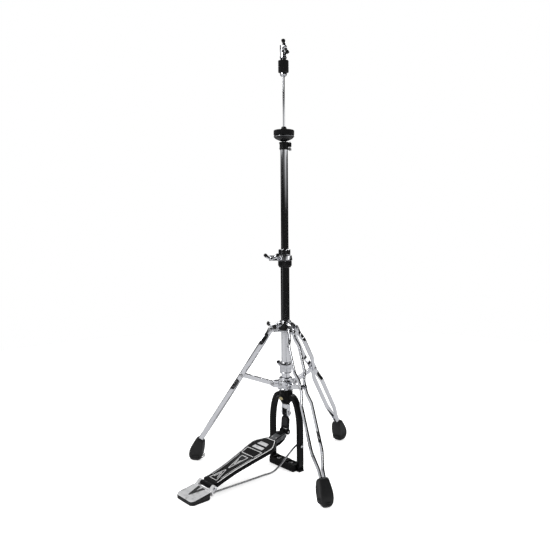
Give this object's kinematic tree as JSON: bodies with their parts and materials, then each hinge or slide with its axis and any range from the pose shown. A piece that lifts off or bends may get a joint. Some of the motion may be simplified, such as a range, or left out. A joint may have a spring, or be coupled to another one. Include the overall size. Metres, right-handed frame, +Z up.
{
  "type": "hi-hat stand",
  "caption": "Folding hi-hat stand with a tripod, a height-adjustable column, a foot pedal that pulls a centre rod, a felted cymbal seat and a clutch.",
  "frame": {"origin": "on the floor under the column's axis, on the flat underside of the base bar", "axes": "+Z up along the column, -Y towards the pedal's heel, +X to the right of a seated drummer's foot"},
  "size_m": [0.4586, 0.5719, 1.0684],
  "materials": {
    "chrome": "polished chrome plate",
    "plated_fastener": "bright zinc or nickel plate",
    "spring_steel": "oiled spring wire",
    "hub_casting": "chrome plated die casting",
    "black_casting": "satin black powder coat",
    "heel_metal": "fine ribbed satin metal",
    "black_link": "satin black",
    "rubber": "matt moulded rubber",
    "black_nylon": "moulded nylon",
    "black_felt": "pressed wool felt"
  },
  "bodies": {
    "stand": {"lower_tube": "chrome", "frame_block": "black_casting", "frame_arm_left": "black_casting", "frame_arm_right": "black_casting", "base_bar": "black_casting", "radius_rod_left": "chrome", "radius_rod_right": "chrome", "heel_plate": "heel_metal", "heel_rubber": "rubber", "hinge_pin": "plated_fastener", "spring_seat": "black_nylon", "return_spring": "spring_steel", "height_bush": "black_nylon", "height_clamp": "chrome", "memory_lock": "chrome"},
    "tripod": {"lower_hub": "hub_casting", "tripod_clamp": "hub_casting", "brace_1_pivot_bolt": "plated_fastener", "brace_2_pivot_bolt": "plated_fastener", "brace_3_pivot_bolt": "plated_fastener"},
    "tripod_wing": {"tripod_wing_bolt": "chrome"},
    "leg_carrier": {"upper_hub": "hub_casting"},
    "hub_wing": {"hub_wing_bolt": "chrome"},
    "upper_column": {"upper_tube": "chrome", "tilter_base": "black_nylon"},
    "tilt_thumbscrew": {"tilt_screw": "plated_fastener"},
    "cymbal_seat": {"seat_cup": "black_nylon", "seat_felt": "black_felt", "seat_sleeve": "black_nylon"},
    "height_wing": {"height_wing_nut": "chrome"},
    "pull_rod": {"lower_pull_rod": "plated_fastener", "upper_pull_rod": "chrome", "spring_cap": "plated_fastener", "pull_yoke": "chrome", "yoke_bolt": "plated_fastener"},
    "clutch": {"clutch_body": "chrome", "clutch_lock_nut": "plated_fastener", "clutch_upper_felt": "black_felt", "clutch_lower_felt": "black_felt", "clutch_bottom_nut": "chrome"},
    "clutch_wing": {"clutch_wing_bolt": "chrome"},
    "pedal": {"footboard": "black_casting", "toe_plate": "heel_metal", "toe_pin": "plated_fastener"},
    "link": {"drive_link": "black_link"},
    "leg_1": {"leg_1_strip_left": "chrome", "leg_1_strip_right": "chrome", "leg_1_foot": "rubber", "leg_1_pivot_bolt": "plated_fastener"},
    "brace_1": {"brace_1": "chrome"},
    "leg_2": {"leg_2_strip_left": "chrome", "leg_2_strip_right": "chrome", "leg_2_foot": "rubber", "leg_2_pivot_bolt": "plated_fastener"},
    "brace_2": {"brace_2": "chrome"},
    "leg_3": {"leg_3_strip_left": "chrome", "leg_3_strip_right": "chrome", "leg_3_foot": "rubber", "leg_3_pivot_bolt": "plated_fastener"},
    "brace_3": {"brace_3": "chrome"}
  },
  "joints": [
    {"name": "pedal_press", "type": "hinge", "parent": "stand", "child": "pedal", "pos_m": [0, -0.2475, 0.022], "axis": [-1, 0, 0], "range_deg": [0, 11]},
    {"name": "rod_pull", "type": "slide", "parent": "stand", "child": "pull_rod", "axis": [0, 0, -1], "range_m": [0, 0.04768], "stiffness_N_per_m": 500, "springref_m": -0.06, "deforming": ["return_spring"]},
    {"name": "link_swing", "type": "hinge", "parent": "pull_rod", "child": "link", "pos_m": [0, 0, 0.141], "axis": [1, 0, 0], "range_deg": [0, 10.37]},
    {"name": "clutch_slide", "type": "slide", "parent": "pull_rod", "child": "clutch", "axis": [0, 0, 1], "range_m": [-0.035, 0]},
    {"name": "clutch_wing_turn", "type": "hinge", "parent": "clutch", "child": "clutch_wing", "pos_m": [0.01697, -0.0098, 1.049], "axis": [0.866, -0.5, 0], "range_deg": [-180, 180]},
    {"name": "height_slide", "type": "slide", "parent": "stand", "child": "upper_column", "axis": [0, 0, 1], "range_m": [-0.15, 0.03]},
    {"name": "seat_tilt", "type": "hinge", "parent": "upper_column", "child": "cymbal_seat", "pos_m": [0, 0, 0.845], "axis": [-0.788, 0.6157, 0], "range_deg": [-3.5, 3.5]},
    {"name": "tilt_screw_turn", "type": "hinge", "parent": "upper_column", "child": "tilt_thumbscrew", "pos_m": [0.00911, 0.01166, 0.806], "axis": [0, 0, 1], "range_deg": [-180, 180]},
    {"name": "height_wing_turn", "type": "hinge", "parent": "stand", "child": "height_wing", "pos_m": [-0.00722, -0.03791, 0.53635], "axis": [0.7431, -0.6691, 0], "range_deg": [-180, 180]},
    {"name": "tripod_swivel", "type": "hinge", "parent": "stand", "child": "tripod", "pos_m": [0, 0, 0.202], "axis": [0, 0, 1], "range_deg": [-12, 12]},
    {"name": "tripod_wing_turn", "type": "hinge", "parent": "tripod", "child": "tripod_wing", "pos_m": [-0.03091, 0.00828, 0.258], "axis": [-0.9659, 0.2588, 0], "range_deg": [-180, 180]},
    {"name": "tripod_fold", "type": "slide", "parent": "tripod", "child": "leg_carrier", "axis": [0, 0, 1], "range_m": [0, 0.0768]},
    {"name": "hub_wing_turn", "type": "hinge", "parent": "leg_carrier", "child": "hub_wing", "pos_m": [-0.00585, -0.04159, 0.368], "axis": [-0.1392, -0.9903, 0], "range_deg": [-180, 180]},
    {"name": "leg_1_fold", "type": "hinge", "parent": "leg_carrier", "child": "leg_1", "pos_m": [-0.00552, 0.03739, 0.3542], "axis": [-0.9893, -0.1461, 0], "range_deg": [0, 20.82]},
    {"name": "brace_1_fold", "type": "hinge", "parent": "tripod", "child": "brace_1", "pos_m": [-0.00485, 0.03284, 0.2146], "axis": [0.9893, 0.1461, 0], "range_deg": [0, 52.46]},
    {"name": "leg_2_fold", "type": "hinge", "parent": "leg_carrier", "child": "leg_2", "pos_m": [-0.02962, -0.02348, 0.3542], "axis": [0.6212, -0.7837, 0], "range_deg": [0, 20.82]},
    {"name": "brace_2_fold", "type": "hinge", "parent": "tripod", "child": "brace_2", "pos_m": [-0.02602, -0.02062, 0.2146], "axis": [-0.6212, 0.7837, 0], "range_deg": [0, 52.46]},
    {"name": "leg_3_fold", "type": "hinge", "parent": "leg_carrier", "child": "leg_3", "pos_m": [0.03515, -0.01392, 0.3542], "axis": [0.3681, 0.9298, 0], "range_deg": [0, 20.82]},
    {"name": "brace_3_fold", "type": "hinge", "parent": "tripod", "child": "brace_3", "pos_m": [0.03087, -0.01222, 0.2146], "axis": [-0.3681, -0.9298, 0], "range_deg": [0, 52.46]}
  ],
  "couplings": [
    {"joint": "rod_pull", "follows": "pedal_press", "m_per_rad": 0.24835},
    {"joint": "link_swing", "follows": "pedal_press", "ratio": 0.94253},
    {"joint": "leg_1_fold", "follows": "tripod_fold", "rad_per_m": 4.7269},
    {"joint": "brace_1_fold", "follows": "tripod_fold", "rad_per_m": 11.918},
    {"joint": "leg_2_fold", "follows": "tripod_fold", "rad_per_m": 4.7269},
    {"joint": "brace_2_fold", "follows": "tripod_fold", "rad_per_m": 11.918},
    {"joint": "leg_3_fold", "follows": "tripod_fold", "rad_per_m": 4.7269},
    {"joint": "brace_3_fold", "follows": "tripod_fold", "rad_per_m": 11.918}
  ]
}
